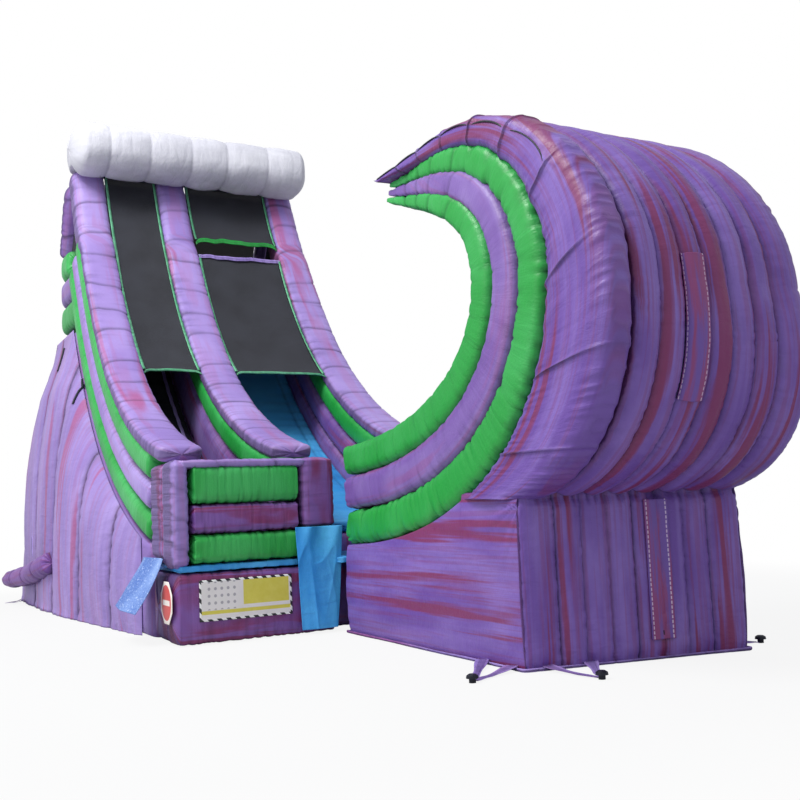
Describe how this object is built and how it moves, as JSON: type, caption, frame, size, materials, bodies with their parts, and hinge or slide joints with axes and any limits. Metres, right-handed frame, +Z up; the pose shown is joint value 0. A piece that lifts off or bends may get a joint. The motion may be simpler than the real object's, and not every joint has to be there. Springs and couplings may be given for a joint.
{
  "type": "inflatable wave water slide",
  "caption": "Inflatable two-lane slide tower with netted climb and slide lanes, foam cornice, front bumper wall and a curled wave that the slide lane runs out into",
  "frame": {"origin": "bottom centre of the bounding box, on the ground", "axes": "+X across the lanes to the slide side, +Y from the front wall back to the tower, +Z up"},
  "size_m": [4.763, 11.365, 6.8051],
  "materials": {
    "vinyl_purple": "satin",
    "vinyl_lilac": "satin",
    "vinyl_green": "satin",
    "vinyl_blue": "satin",
    "vinyl_black": "satin",
    "net": "matte",
    "foam_white": "matte",
    "denim_mat": "matte",
    "sign_red": "satin",
    "sign_yellow": "satin",
    "webbing": "matte",
    "dark_steel": "satin"
  },
  "bodies": {
    "slide": {"anchor_stake_front": "dark_steel", "anchor_stake_front_left": "dark_steel", "anchor_stake_right": "dark_steel", "anchor_strap_back_left": "webbing", "anchor_strap_front": "webbing", "anchor_strap_front_left": "webbing", "anchor_strap_right": "webbing", "back_net": "net", "centre_rail": "vinyl_lilac", "centre_tube_green": "vinyl_green", "centre_tube_purple": "vinyl_purple", "climb_bed": "vinyl_black", "climb_hand_strap": "webbing", "climb_net": "net", "deck_floor": "vinyl_black", "deck_wall_green_lower": "vinyl_green", "deck_wall_green_upper": "vinyl_green", "deck_wall_purple": "vinyl_purple", "foam_cornice": "foam_white", "front_banner": "sign_yellow", "front_base": "vinyl_purple", "front_cap_and_post": "vinyl_purple", "front_corner_post": "vinyl_purple", "front_tube_green_lower": "vinyl_green", "front_tube_green_upper": "vinyl_green", "front_tube_purple": "vinyl_purple", "inflation_sleeve": "vinyl_purple", "landing_floor": "vinyl_blue", "left_rail": "vinyl_lilac", "left_tube_green_lower": "vinyl_green", "left_tube_green_upper": "vinyl_green", "left_tube_purple": "vinyl_purple", "right_rail": "vinyl_lilac", "right_tube_green_lower": "vinyl_green", "right_tube_green_upper": "vinyl_green", "right_tube_purple": "vinyl_purple", "roof_frame": "vinyl_purple", "side_chamber_left": "vinyl_lilac", "side_chamber_right": "vinyl_lilac", "side_mat": "denim_mat", "side_net_left": "net", "side_net_right": "net", "sign_octagon": "sign_red", "slide_bed": "vinyl_blue", "slide_net_lower": "net", "slide_net_upper": "net", "tower_base": "vinyl_purple", "wave_barrel": "vinyl_purple", "wave_base": "vinyl_purple", "wave_bed": "vinyl_purple", "wave_end_wall_right": "vinyl_purple", "wave_ring_left": "vinyl_purple", "wave_tube_green_inner": "vinyl_green", "wave_tube_green_outer": "vinyl_green", "wave_tube_purple": "vinyl_purple"},
    "base_zip_flap": {"base_zip_flap": "webbing"},
    "base_zip_slider": {"base_zip_slider": "dark_steel"},
    "barrel_zip_flap": {"barrel_zip_flap": "webbing"},
    "barrel_zip_slider": {"barrel_zip_slider": "dark_steel"},
    "front_apron": {"front_apron": "vinyl_blue"}
  },
  "joints": [
    {"name": "base_zip_flap_hinge", "type": "hinge", "parent": "slide", "child": "base_zip_flap", "pos_m": [1.1372, -4.7187, 0.675], "axis": [0, 0, -1], "range_deg": [0, 80]},
    {"name": "base_zip_slider_run", "type": "slide", "parent": "slide", "child": "base_zip_slider", "axis": [0, 0, 1], "range_m": [0, 0.95]},
    {"name": "barrel_zip_flap_hinge", "type": "hinge", "parent": "slide", "child": "barrel_zip_flap", "pos_m": [0.8272, -5.6425, 2.6], "axis": [0, 0, -1], "range_deg": [0, 60]},
    {"name": "barrel_zip_slider_run", "type": "hinge", "parent": "slide", "child": "barrel_zip_slider", "pos_m": [0.9272, -4.2112, 2.489], "axis": [-1, 0, 0], "range_deg": [0, 20]},
    {"name": "front_apron_hinge", "type": "hinge", "parent": "slide", "child": "front_apron", "pos_m": [-0.1078, -1.3179, 1.02], "axis": [-1, 0, 0], "range_deg": [0, 75]}
  ]
}
